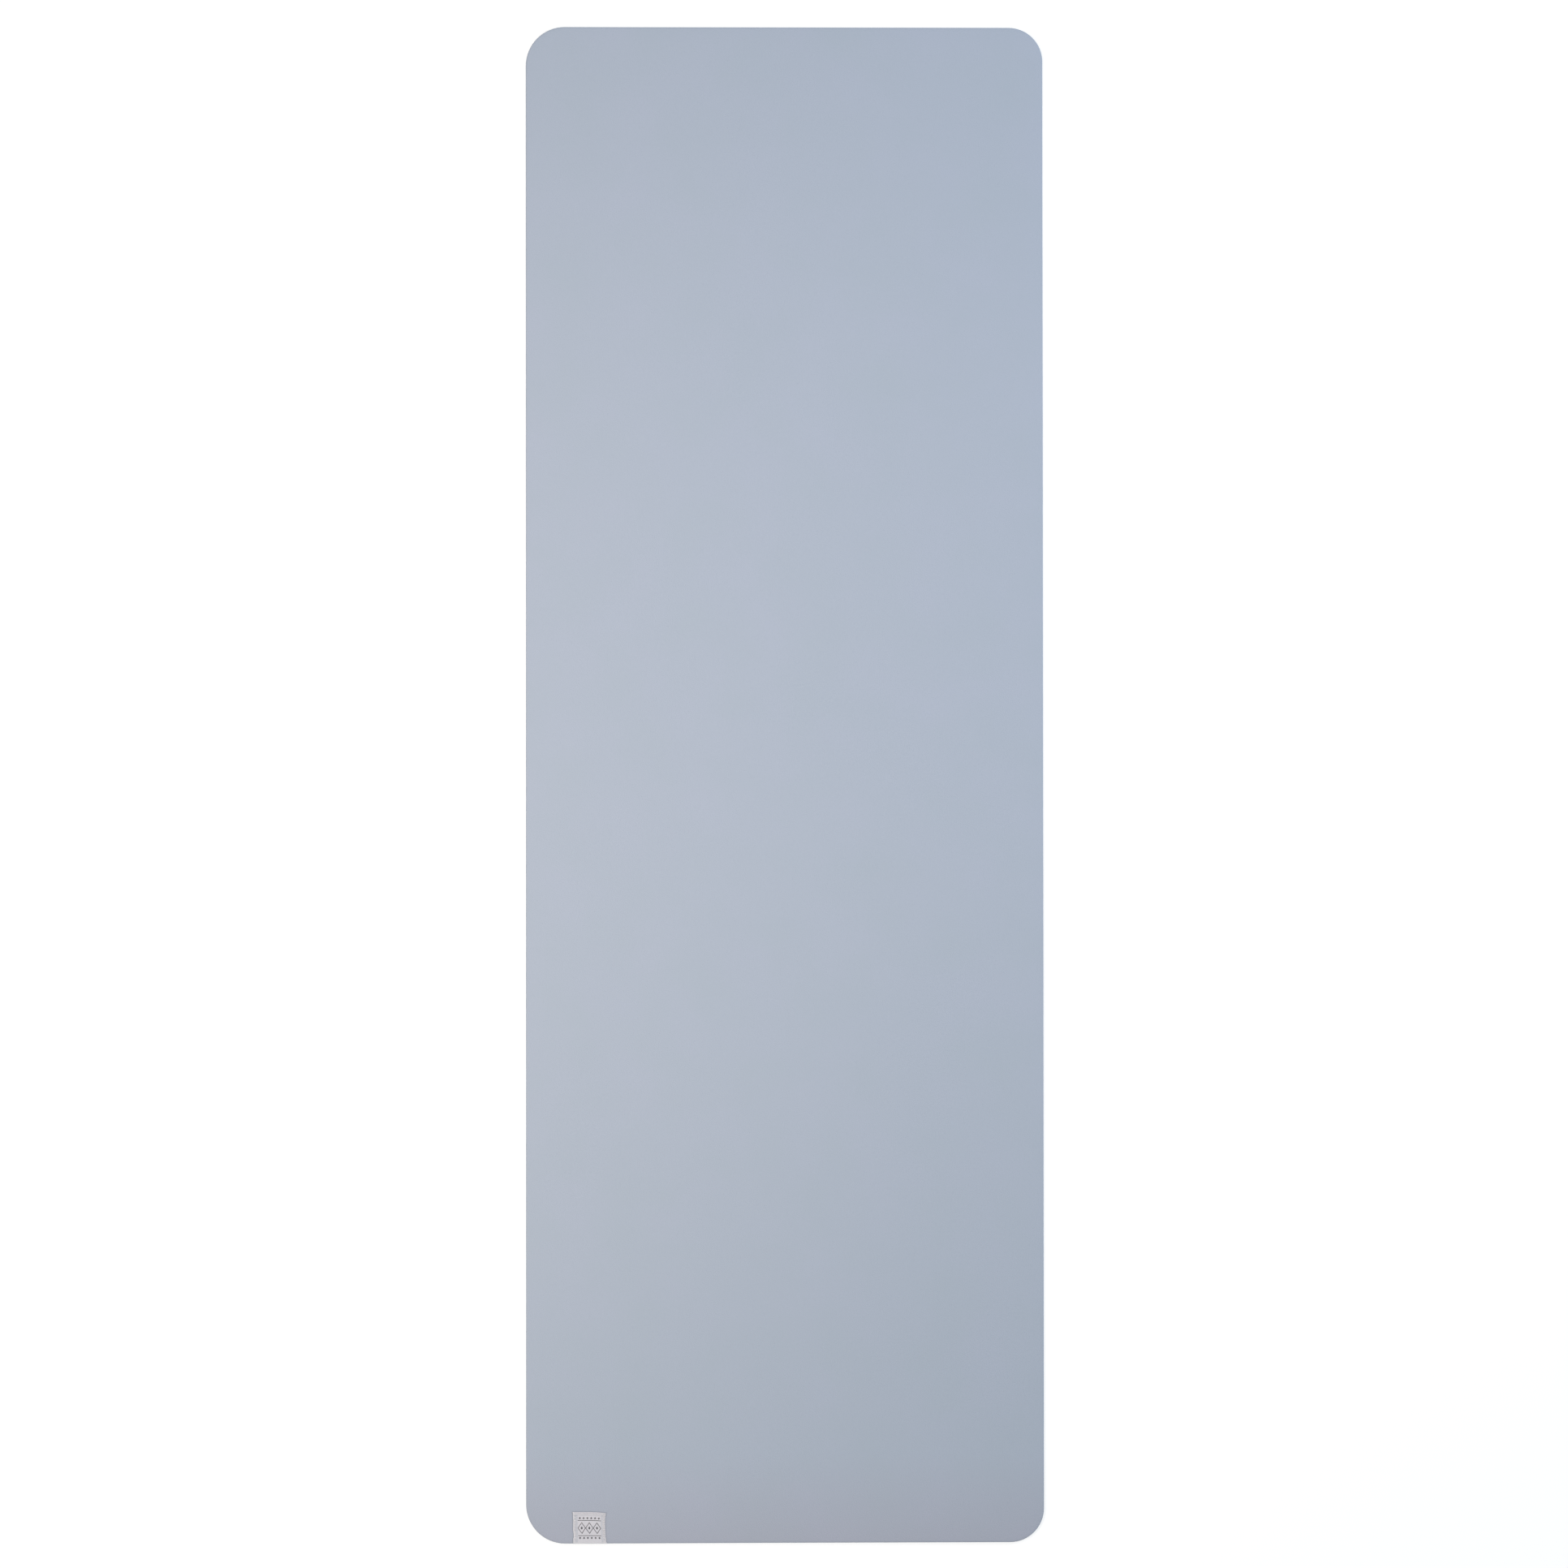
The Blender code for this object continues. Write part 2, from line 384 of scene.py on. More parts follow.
def foam_material(name, pale, deep):
    """Closed-cell foam rubber, blown and then die-cut."""
    # Cut cells show at the rim as tiny dark pits, and the moulded faces are dry and matte.
    material, tree, shader = new_material(name, Roughness=0.88, IOR=1.5)
    place = add_node(tree, "ShaderNodeTexCoord").outputs["Object"]
    # Cells about 0.35 mm across.
    cell = add_node(
        tree, "ShaderNodeTexVoronoi",
        {"Vector": place, "Scale": grain_scale(foam_cell_mm), "Randomness": 1}
    )
    depth = add_node(
        tree, "ShaderNodeMapRange",
        {"Value": cell.outputs["Distance"], "From Min": 0.05, "From Max": 0.45,
         "To Min": 1, "To Max": 0}
    )
    # Blooms of about 20 mm in the blown rubber.
    bloom = add_node(
        tree, "ShaderNodeTexNoise",
        {"Vector": place, "Scale": grain_scale(foam_bloom_mm), "Detail": 4}
    )
    share = add_node(
        tree, "ShaderNodeMath", {0: depth, 1: bloom.outputs["Fac"]}, operation="MULTIPLY"
    )
    colour = add_node(
        tree, "ShaderNodeMix", {"Factor": share, 6: linear(pale), 7: linear(deep)}, data_type="RGBA"
    )
    tree.links.new(colour.outputs[2], shader.inputs["Base Color"])
    pits = add_node(
        tree, "ShaderNodeBump",
        {"Height": depth, "Strength": 0.5, "Distance": foam_pit_relief}, invert=True
    )
    tree.links.new(pits.outputs["Normal"], shader.inputs["Normal"])
    return material


def layer_cloth_material():
    """Plain-woven polyester cloth, heat-set before it was coated."""
    # A thin pale line at the rim, with the ends of its threads just to be seen.
    material, tree, shader = new_material(
        "plain_polyester_cloth", Roughness=0.85, Sheen_Weight=0.2, Sheen_Roughness=0.5
    )
    place = add_node(tree, "ShaderNodeTexCoord").outputs["Object"]
    # Threads 0.4 mm apart each way. A thread comes to the top over every second one it crosses.
    repeat = band_scale(2 * cloth_thread_mm)
    across, along = [
        add_node(
            tree, "ShaderNodeTexWave", {"Vector": place, "Scale": repeat, "Distortion": 0.4},
            bands_direction=direction
        )
        for direction in "XY"
    ]
    weave = add_node(
        tree, "ShaderNodeMath", {0: across.outputs["Fac"], 1: along.outputs["Fac"]},
        operation="MULTIPLY"
    )
    colour = add_node(
        tree, "ShaderNodeMix",
        {"Factor": weave, 6: linear("#AEB2BA"), 7: linear("#CDD0D6")}, data_type="RGBA"
    )
    tree.links.new(colour.outputs[2], shader.inputs["Base Color"])
    ribs = add_node(
        tree, "ShaderNodeBump", {"Height": weave, "Strength": 0.6, "Distance": cloth_relief}
    )
    tree.links.new(ribs.outputs["Normal"], shader.inputs["Normal"])
    return material


def yarn_material():
    """Flat polyester yarn, twisted lightly and laid as a net."""
    # Slightly silky, with fine lines along its filaments.
    material, tree, shader = new_material("flat_polyester_yarn", Roughness=0.6, Sheen_Weight=0.2)
    place = add_node(tree, "ShaderNodeTexCoord").outputs["Object"]
    # Filaments drawn 0.125 mm apart, wider than real ones, so that they show.
    lines = add_node(
        tree, "ShaderNodeTexNoise",
        {"Vector": place, "Scale": grain_scale(filament_mm), "Detail": 1}
    )
    colour = add_node(
        tree, "ShaderNodeMix",
        {"Factor": lines.outputs["Fac"], 6: linear("#C4C6CB"), 7: linear("#DADCE0")},
        data_type="RGBA"
    )
    tree.links.new(colour.outputs[2], shader.inputs["Base Color"])
    return material


def ornament_mask(tree, cloth):
    """Where dark yarn comes to the label's face: three diamonds between rules and lozenges."""
    # The ornament steps in blocks of 0.25 mm, about three real threads.
    stepped = add_node(
        tree, "ShaderNodeVectorMath", {0: cloth, 1: (block_mm, block_mm, 1)}, operation="SNAP"
    )
    block = add_node(tree, "ShaderNodeSeparateXYZ", {0: stepped.outputs["Vector"]})
    across = block.outputs["X"]
    from_middle = add_node(
        tree, "ShaderNodeMath", {0: block.outputs["Y"], 1: ornament_middle_mm}, operation="SUBTRACT"
    )
    height = add_node(tree, "ShaderNodeMath", {0: from_middle}, operation="ABSOLUTE")
    # Diamonds 9 mm wide and 13 mm tall, with lines 0.75 mm wide and a small solid one in each.
    zigzag = add_node(tree, "ShaderNodeMath", {0: across, 1: diamond_half_mm}, operation="PINGPONG")
    reach = add_node(
        tree, "ShaderNodeMath", {0: zigzag, 1: diamond_slope, 2: height}, operation="MULTIPLY_ADD"
    )
    line = add_node(
        tree, "ShaderNodeMath",
        {0: reach, 1: diamond_line_mm, 2: diamond_line_half_mm}, operation="COMPARE"
    )
    heart = add_node(tree, "ShaderNodeMath", {0: reach, 1: heart_mm}, operation="LESS_THAN")
    # A rule 0.75 mm wide over and under the diamonds.
    rule = add_node(
        tree, "ShaderNodeMath", {0: height, 1: rule_mm, 2: rule_half_mm}, operation="COMPARE"
    )
    # A row of six lozenges beyond each rule.
    shifted = add_node(tree, "ShaderNodeMath", {0: across, 1: bead_half_pitch_mm}, operation="ADD")
    beads = add_node(
        tree, "ShaderNodeMath", {0: shifted, 1: bead_half_pitch_mm}, operation="PINGPONG"
    )
    bead_height = add_node(
        tree, "ShaderNodeMath", {0: height, 1: bead_row_mm}, operation="SUBTRACT"
    )
    bead_reach = add_node(tree, "ShaderNodeMath", {0: bead_height}, operation="ABSOLUTE")
    bead_sum = add_node(tree, "ShaderNodeMath", {0: beads, 1: bead_reach}, operation="ADD")
    bead = add_node(tree, "ShaderNodeMath", {0: bead_sum, 1: bead_mm}, operation="LESS_THAN")
    marks = line
    for mark in (heart, rule, bead):
        marks = add_node(tree, "ShaderNodeMath", {0: marks, 1: mark}, operation="MAXIMUM")
    sideways = add_node(tree, "ShaderNodeMath", {0: across}, operation="ABSOLUTE")
    inside = add_node(
        tree, "ShaderNodeMath", {0: sideways, 1: ornament_half_mm}, operation="LESS_THAN"
    )
    return add_node(tree, "ShaderNodeMath", {0: marks, 1: inside}, operation="MULTIPLY")


def label_material():
    """Damask label cloth, jacquard-woven in pale and dark grey polyester."""
    # A satin panel with fine ribs across, duller beside it, with a left selvedge painted paler as a
    # painted highlight, bound sides and an ornament of three diamonds between rules, whose edges step
    # from thread to thread.
    material, tree, shader = new_material(
        "damask_label_cloth", Roughness=0.55, Sheen_Weight=0.15, Sheen_Roughness=0.4
    )
    cloth = add_node(tree, "ShaderNodeAttribute", attribute_name="cloth_mm").outputs["Vector"]
    ornament = ornament_mask(tree, cloth)
    plain = add_node(tree, "ShaderNodeSeparateXYZ", {0: cloth})
    # Coarse ribs 1.7 mm apart bind the last 3.5 mm at each side, more tightly at the right.
    binding = add_node(
        tree, "ShaderNodeTexWave",
        {"Vector": cloth, "Scale": band_scale(binding_rib_mm, 1), "Distortion": 0.8, "Detail": 1},
        bands_direction="Y"
    )
    to_side = add_node(tree, "ShaderNodeMath", {0: plain.outputs["X"]}, operation="ABSOLUTE")
    bound = add_node(
        tree, "ShaderNodeMapRange",
        {"Value": to_side, "From Min": binding_edge_mm[0], "From Max": binding_edge_mm[1]}
    )
    tight = add_node(
        tree, "ShaderNodeMapRange",
        {"Value": plain.outputs["X"], "From Min": -label_half_mm, "From Max": label_half_mm,
         "To Min": loose_binding_share, "To Max": 1}
    )
    held = add_node(tree, "ShaderNodeMath", {0: bound, 1: tight}, operation="MULTIPLY")
    rungs = add_node(
        tree, "ShaderNodeMath", {0: held, 1: binding.outputs["Fac"]}, operation="MULTIPLY"
    )
    from_fold = add_node(
        tree, "ShaderNodeMath", {0: plain.outputs["Y"], 1: fold_place_mm}, operation="SUBTRACT"
    )
    to_fold = add_node(tree, "ShaderNodeMath", {0: from_fold}, operation="ABSOLUTE")
    # The satin panel, 27 mm wide, floats more of its thread on the face and looks brighter. Two
    # layers of cloth at the hem let less of the mat show through. The left selvedge and the fold over
    # the mat's edge are painted paler: painted highlights where they catch the light.
    panel, hem, selvedge_highlight, fold = [
        add_node(
            tree, "ShaderNodeMapRange",
            {"Value": reach, "From Min": edge[0], "From Max": edge[1], "To Min": 1, "To Max": 0}
        )
        for reach, edge in (
            (to_side, panel_edge_mm),
            (plain.outputs["Y"], hem_edge_mm),
            (plain.outputs["X"], selvedge_highlight_edge_mm),
            (to_fold, fold_highlight_edge_mm),
        )
    ]
    # Weft ribs 0.3 mm apart, drawn about twice as wide as real ones.
    ribs = add_node(
        tree, "ShaderNodeTexWave",
        {"Vector": cloth, "Scale": band_scale(label_rib_mm, 1), "Distortion": 0.6, "Detail": 1},
        bands_direction="Y"
    )
    ends = add_node(
        tree, "ShaderNodeTexWave",
        {"Vector": cloth, "Scale": band_scale(label_end_mm, 1), "Distortion": 0.5, "Detail": 1},
        bands_direction="X"
    )
    weave = add_node(
        tree, "ShaderNodeMath", {0: ribs.outputs["Fac"], 1: ends.outputs["Fac"]},
        operation="MULTIPLY"
    )
    # Each yarn is darker between the ribs than on them.
    ground, satin, dark = [
        add_node(
            tree, "ShaderNodeMix",
            {"Factor": weave, 6: linear(between), 7: linear(on_rib)}, data_type="RGBA"
        ).outputs[2]
        for between, on_rib in (
            ("#C1C3CB", "#CED0D9"), ("#D1D0D7", "#DEDDE4"), ("#525156", "#626166")
        )
    ]
    # Each zone lies over the ones before it.
    colour = ground
    for zone, zone_colour in (
        (panel, satin),
        (hem, linear("#D0CFD6")),
        (held, linear("#D8D7DD")),
        (rungs, linear("#BFBFC6")),
        # Painted highlight: the left selvedge is painted paler, on the side that faces the light.
        (selvedge_highlight, linear("#DBDADF")),
        # Painted highlight: the fold is painted paler where it catches the light.
        (fold, linear("#E4E3E8")),
        (ornament, dark),
    ):
        colour = add_node(
            tree, "ShaderNodeMix", {"Factor": zone, 6: colour, 7: zone_colour}, data_type="RGBA"
        ).outputs[2]
    tree.links.new(colour, shader.inputs["Base Color"])
    raised = add_node(
        tree, "ShaderNodeMath", {0: ornament, 1: ornament_share, 2: weave}, operation="MULTIPLY_ADD"
    )
    bumps = add_node(tree, "ShaderNodeMath", {0: raised, 1: rungs}, operation="SUBTRACT")
    cloth_bump = add_node(
        tree, "ShaderNodeBump", {"Height": bumps, "Strength": 0.8, "Distance": label_relief}
    )
    tree.links.new(cloth_bump.outputs["Normal"], shader.inputs["Normal"])
    return material


def thread_material():
    """Three-ply polyester sewing thread, waxed."""
    # Pale, with a slight shine along each ply and a little fuzz.
    material, tree, shader = new_material(
        "three_ply_polyester_thread", Roughness=0.5, Sheen_Weight=0.3, Sheen_Roughness=0.4
    )
    place = add_node(tree, "ShaderNodeTexCoord").outputs["Object"]
    # Fuzz of about 0.1 mm.
    fuzz = add_node(
        tree, "ShaderNodeTexNoise", {"Vector": place, "Scale": grain_scale(fuzz_mm), "Detail": 2}
    )
    colour = add_node(
        tree, "ShaderNodeMix",
        {"Factor": fuzz.outputs["Fac"], 6: linear("#CBCACE"), 7: linear("#E2E1E5")},
        data_type="RGBA"
    )
    tree.links.new(colour.outputs[2], shader.inputs["Base Color"])
    rough = add_node(
        tree, "ShaderNodeBump",
        {"Height": fuzz.outputs["Fac"], "Strength": 0.4, "Distance": fuzz_relief}
    )
    tree.links.new(rough.outputs["Normal"], shader.inputs["Normal"])
    return material


def add_object(name, data):
    """Add an object with this data to the scene."""
    made = bpy.data.objects.new(name, data)
    bpy.context.scene.collection.objects.link(made)
    return made


def add_mesh_object(name, shape, material):
    """Add an object made from a bmesh, with its finish."""
    mesh = bpy.data.meshes.new(name)
    shape.to_mesh(mesh)
    shape.free()
    mesh.materials.append(material)
    return add_object(name, mesh)


def add_grid(shape, columns, rows, width=1, length=1):
    """Add a flat grid of this size, centred on the origin, to a bmesh."""
    verts = bmesh.ops.create_grid(shape, x_segments=columns, y_segments=rows, size=0.5)["verts"]
    bmesh.ops.scale(shape, vec=(width, length, 1), verts=verts)
    return verts


def give_thickness(sheet, thickness):
    """Give a sheet its thickness, half of it to each side."""
    wall = sheet.modifiers.new("thickness", "SOLIDIFY")
    wall.thickness = thickness
    wall.offset = 0


def of_kind(items, kind):
    """Those of a bmesh's items that are of one kind."""
    return [item for item in items if isinstance(item, kind)]


def clamp(share):
    """A share held between 0 and 1."""
    return min(max(share, 0), 1)


def distance_inside(x, y):
    """How far a point lies inside the mat's outline."""
    radius = left_corner_radius if x < 0 else right_corner_radius
    over_x = abs(x) - (half_width - radius)
    over_y = abs(y - mat_centre_y) - (half_length - radius)
    outside = math.hypot(max(over_x, 0), max(over_y, 0)) + min(max(over_x, over_y), 0)
    return radius - outside


def lift(x, y):
    """How far the mat stands off the floor at a place."""
    wave = math.sin(math.tau * x / wave_length_x + wave_phase_x)
    wave *= math.sin(math.tau * y / wave_length_y + wave_phase_y)
    to_end = half_length - abs(y - mat_centre_y)
    curl = max(0, 1 - to_end / end_lift_length)
    end_lift = near_end_lift if y < mat_centre_y else far_end_lift
    return wave_height * (1 + wave) + end_lift * curl * curl


def settle(shape):
    """Drag a flat bmesh down at the mat's rim, and lay it as the mat lies."""
    for vert in shape.verts:
        x, y, z = vert.co
        near_rim = 1 - clamp(distance_inside(x, y) / rim_drag_width)
        vert.co.z = z * (1 - rim_drag_share * near_rim * near_rim) + lift(x, y)


def ease(share):
    """A smooth step from 0 to 1."""
    held = clamp(share)
    return held * held * (3 - 2 * held)


def label_sides(y):
    """The x of the label's left and right edges at a place along it."""
    to_tip = max(label_high.y - y, 0)
    to_end = max(y - near_end_y, 0)
    left = label_low.x + left_inset
    left -= left_tip_poke * math.exp(-to_tip / left_poke_length)
    left += left_nip * math.exp(-((to_end - left_nip_place) / left_nip_length) ** 2)
    right = label_high.x - right_waist
    right += right_tip_poke * math.exp(-(to_tip / right_poke_length) ** 2)
    right += right_end_flare * math.exp(-to_end / right_flare_length)
    right += label_scallop * math.sin(math.tau * y / label_scallop_pitch)
    return left, right


def label_tip(share):
    """The y of the label's tip at a share of its width. It falls away to the right."""
    fall = max(0, (share - tip_fall_start_share) / (1 - tip_fall_start_share))
    return label_high.y - tip_inset - tip_fall * fall * fall


def place_on_label(share, y):
    """Where a point of the square-cut label lies, from its share across and its place along."""
    along = (y - near_end_y) / (label_high.y - near_end_y)
    pulled = near_end_y + along * (label_tip(share) - near_end_y)
    left, right = label_sides(pulled)
    return left + (right - left) * share, pulled


def place_before_pull(x, y):
    """The share across and the place along that place_on_label turns into this point."""
    left, right = label_sides(y)
    share = (x - left) / (right - left)
    along = (y - near_end_y) / (label_tip(share) - near_end_y)
    return share, near_end_y + along * (label_high.y - near_end_y)


def outside_label(x, y):
    """How far a point lies outside the label's outline, or less than zero inside it."""
    left, right = label_sides(y)
    share = clamp((x - left) / (right - left))
    return max(left - x, x - right, y - label_tip(share))


def press(x, y):
    """How deep the sewn label presses into the skin at a place."""
    return press_depth * (1 - ease(outside_label(x, y) / press_width))


def is_between(face, lowest, highest):
    """Whether a face lies between two heights."""
    return all(lowest - hair_gap < vert.co.z < highest + hair_gap for vert in face.verts)


def is_near_label(face):
    """Whether a face reaches into the label's surroundings."""
    places = [vert.co for vert in face.verts]
    beside = min(place.x for place in places) > label_high.x + near_label
    beside = beside or max(place.x for place in places) < label_low.x - near_label
    return not beside and min(place.y for place in places) < label_high.y + near_label


def cut_faces(shape, faces, place, normal):
    """Cut faces by a plane, and give back the faces that they turn into."""
    edges = {edge for face in faces for edge in face.edges}
    verts = {vert for face in faces for vert in face.verts}
    cut = bmesh.ops.bisect_plane(
        shape, geom=[*verts, *edges, *faces], dist=cut_tolerance, plane_co=place, plane_no=normal
    )
    return of_kind(cut["geom"], bmesh.types.BMFace)


def cut_round_label(shape, margins, lowest, highest):
    """Cut the faces near the label, between two heights, finely at its outline."""
    places_x = [label_low.x - margin for margin in margins]
    places_x += [label_high.x + margin for margin in margins]
    places_y = [label_high.y + margin for margin in margins]
    reach = max(margins)
    for first, last, places in (
        (label_low.x + reach, label_high.x - reach, places_x),
        (near_end_y + reach, label_high.y - reach, places_y),
    ):
        count = math.ceil((last - first) / outline_step)
        places += [first + (last - first) * step / count for step in range(count + 1)]
    planes = [((place, 0, 0), (1, 0, 0)) for place in places_x]
    planes += [((0, place, 0), (0, 1, 0)) for place in places_y]
    for place, normal in planes:
        faces = [face for face in shape.faces if is_near_label(face)]
        faces = [face for face in faces if is_between(face, lowest, highest)]
        cut_faces(shape, faces, place, normal)


def finish_piece(name, shape, material, replaced, sharp_angle=layer_sharp_angle):
    """Make an object of a bmesh, with its finish, its body and the node that it stands for."""
    bmesh.ops.recalc_face_normals(shape, faces=shape.faces)
    piece = add_mesh_object(name, shape, material)
    piece.data.shade_smooth()
    piece.data.set_sharp_from_angle(angle=sharp_angle)
    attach(piece, "root")
    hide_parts(replaced)
    return piece


def start_outline(height, rings=()):
    """Make a flat face of the mat's outline, with rings of edges inside its rim."""
    shape = bmesh.new()
    add_grid(shape, 1, 1, mat_width, mat_length)
    for side, radius in ((-1, left_corner_radius), (1, right_corner_radius)):
        corners = [vert for vert in shape.verts if len(vert.link_edges) == 2]
        corners = [vert for vert in corners if abs(vert.co.x - side * half_width) < hair_gap]
        corners = [vert for vert in corners if abs(abs(vert.co.y) - half_length) < hair_gap]
        bmesh.ops.bevel(
            shape, geom=corners, offset=radius, offset_type="OFFSET", segments=corner_segments,
            profile=0.5, affect="VERTICES", material=-1
        )
    bmesh.ops.translate(shape, vec=(0, mat_centre_y, height), verts=shape.verts)
    for ring in rings:
        inner = max(shape.faces, key=lambda face: face.calc_area())
        bmesh.ops.inset_region(
            shape, faces=[inner], thickness=ring, use_even_offset=True, use_boundary=True
        )
    return shape


def cut_along(shape, faces, normal, offsets):
    """Cut faces by parallel planes, which lie at offsets along a normal from the mat's middle."""
    middle = Vector((0, mat_centre_y, 0))
    direction = Vector(normal)
    for offset in offsets:
        faces = cut_faces(shape, faces, middle + direction * offset, direction)
    return faces


def spread_offsets(reach, step):
    """Even offsets no more than step apart, inside plus and minus reach."""
    count = math.ceil(2 * reach / step)
    return [reach * (2 * index / count - 1) for index in range(1, count)]


def thicken(shape, height):
    """Extrude a flat shape up into a closed layer."""
    made = bmesh.ops.extrude_face_region(shape, geom=shape.faces[:])
    upper = of_kind(made["geom"], bmesh.types.BMVert)
    bmesh.ops.translate(shape, vec=(0, 0, height), verts=upper)
    bmesh.ops.recalc_face_normals(shape, faces=shape.faces)


def rim_edges(shape, height):
    """The edges at one height where a layer's flat face meets its side."""
    found = []
    for edge in shape.edges:
        level = all(abs(vert.co.z - height) < level_tolerance for vert in edge.verts)
        turned = len(edge.link_faces) == 2 and edge.calc_face_angle(0) > least_rim_angle
        if level and turned:
            found.append(edge)
    return found


def is_upright(edge):
    """Whether an edge stands straight up."""
    reach = edge.verts[0].co - edge.verts[1].co
    return abs(reach.z) > hair_gap and reach.xy.length < hair_gap


def bulge_sides(shape):
    """Give a foam layer's cut side a slight belly."""
    upright = [edge for edge in shape.edges if is_upright(edge)]
    made = bmesh.ops.subdivide_edges(
        shape, edges=upright, cuts=rim_bulge_cuts, use_grid_fill=True
    )
    shape.normal_update()
    for vert in of_kind(made["geom_inner"], bmesh.types.BMVert):
        rough = noise.noise(vert.co * rim_rough_scale)
        outward = Vector((vert.normal.x, vert.normal.y, 0)).normalized()
        vert.co += outward * rim_bulge * (1 + rim_rough_share * rough)


def cut_grid(shape, faces):
    """Cut faces into squares, so that they can follow the way that the mat lies."""
    faces = cut_along(shape, faces, (1, 0, 0), spread_offsets(half_width, grid_step))
    cut_along(shape, faces, (0, 1, 0), spread_offsets(half_length, grid_step))


def make_layer(name, bottom, top, material, replaced, round_top=False, foam=False):
    """Make one layer of the mat as a closed sheet."""
    shape = start_outline(bottom, rim_rings)
    cut_grid(shape, shape.faces[:])
    thicken(shape, top - bottom)
    if foam:
        bulge_sides(shape)
    if round_top:
        bmesh.ops.bevel(
            shape, geom=rim_edges(shape, top), offset=rim_round, offset_type="OFFSET",
            segments=rim_round_segments, profile=0.5, affect="EDGES", material=-1
        )
        cut_round_label(shape, press_cuts, top - rim_round, top)
        # Painted shadow: each point of the skin's top is given how near it lies to the label, to be
        # painted darker there.
        painted_label_shadow = shape.verts.layers.float.new("painted_label_shadow")
        for vert in shape.verts:
            if vert.co.z > top - rim_round - hair_gap:
                vert[painted_label_shadow] = math.exp(-max(outside_label(vert.co.x, vert.co.y), 0) / label_shadow_reach)
                vert.co.z -= press(vert.co.x, vert.co.y)
    settle(shape)
    return finish_piece(name, shape, material, replaced)


def make_lower_foam(material):
    """Make the foam that lies on the floor, with its tread and the dent for the label's back."""
    top = scrim_middle - hair_gap
    shape = start_outline(0, (tread_margin, tread_wall))
    floor = max(shape.faces, key=lambda face: face.calc_area())
    bmesh.ops.translate(shape, vec=(0, 0, pad_height), verts=floor.verts)
    cut_grid(shape, [face for face in shape.faces if face is not floor])
    reach = half_width * math.cos(pad_half_angle) + half_length * math.sin(pad_half_angle)
    steps = int(reach / pad_pitch)
    offsets = [pad_pitch * step for step in range(-steps, steps + 1)]
    tread = [max(shape.faces, key=lambda face: face.calc_area())]
    for side in (1, -1):
        normal = (math.cos(pad_half_angle), side * math.sin(pad_half_angle), 0)
        tread = cut_along(shape, tread, normal, offsets)
    border = [edge for edge in shape.edges if edge.is_boundary]
    raised = bmesh.ops.extrude_edge_only(shape, edges=border)
    upper = of_kind(raised["geom"], bmesh.types.BMVert)
    bmesh.ops.translate(shape, vec=(0, 0, top), verts=upper)
    rim = [edge for edge in of_kind(raised["geom"], bmesh.types.BMEdge) if edge.is_boundary]
    lid = bmesh.ops.holes_fill(shape, edges=rim, sides=0)
    cut_grid(shape, lid["faces"])
    bmesh.ops.recalc_face_normals(shape, faces=shape.faces)
    bmesh.ops.inset_individual(
        shape, faces=[face for face in tread if carries_pad(face)], thickness=channel_half_width,
        depth=pad_height, use_even_offset=True
    )
    make_label_dent(shape)
    bmesh.ops.dissolve_degenerate(shape, dist=sliver_reach, edges=shape.edges)
    settle(shape)
    return finish_piece("lower_foam_pad", shape, material, "lower_foam")


def carries_pad(face):
    """Whether a face of the tread is wide enough, and far enough from the label, to carry a pad."""
    clear = min(outside_label(vert.co.x, vert.co.y) for vert in face.verts) > pad_to_label
    wide = 2 * face.calc_area() / face.calc_perimeter() > least_pad_radius
    return clear and wide and all(keeps_edge(loop) for loop in face.loops)


def keeps_edge(loop):
    """Whether an edge of a face is long enough to stay when the face is drawn in by a channel."""
    angles = (loop.calc_angle(), loop.link_loop_next.calc_angle())
    lost = sum(channel_half_width / math.tan(angle / 2) for angle in angles)
    return loop.edge.calc_length() > lost + least_pad_edge


def make_label_dent(shape):
    """Press the underside up round the label's back."""
    cut_round_label(shape, dent_cuts, 0, pad_height)
    for vert in shape.verts:
        if vert.co.z < pad_height + hair_gap:
            share = 1 - ease((outside_label(vert.co.x, vert.co.y) - dent_margin) / dent_wall)
            vert.co.z += (dent_roof - vert.co.z) * share


def rounded_reach(offset, half_side, half_other, radius):
    """How far the outline reaches at an offset across it, past a corner of this radius."""
    over = max(0, abs(offset) - (half_other - radius))
    return half_side - radius + math.sqrt(max(0, radius * radius - over * over))


def make_scrim(material):
    """Make the scrim: flat yarns laid along and across the mat."""
    shape = bmesh.new()
    for offset in spread_offsets(half_width - yarn_pitch / 2, yarn_pitch):
        radius = left_corner_radius if offset < 0 else right_corner_radius
        reach = rounded_reach(offset, half_length, half_width, radius) + yarn_poke
        add_yarn(shape, (offset, -reach), (offset, reach), scrim_middle + yarn_thick / 2)
    for offset in spread_offsets(half_length - yarn_pitch / 2, yarn_pitch):
        left, right = [
            rounded_reach(offset, half_width, half_length, radius) + yarn_poke
            for radius in (left_corner_radius, right_corner_radius)
        ]
        add_yarn(shape, (-left, offset), (right, offset), scrim_middle - yarn_thick / 2)
    area = sum(face.calc_area() for face in shape.faces)
    settle(shape)
    scrim = finish_piece("scrim_net", shape, material, "reinforcing_scrim")
    give_thickness(scrim, yarn_thick)


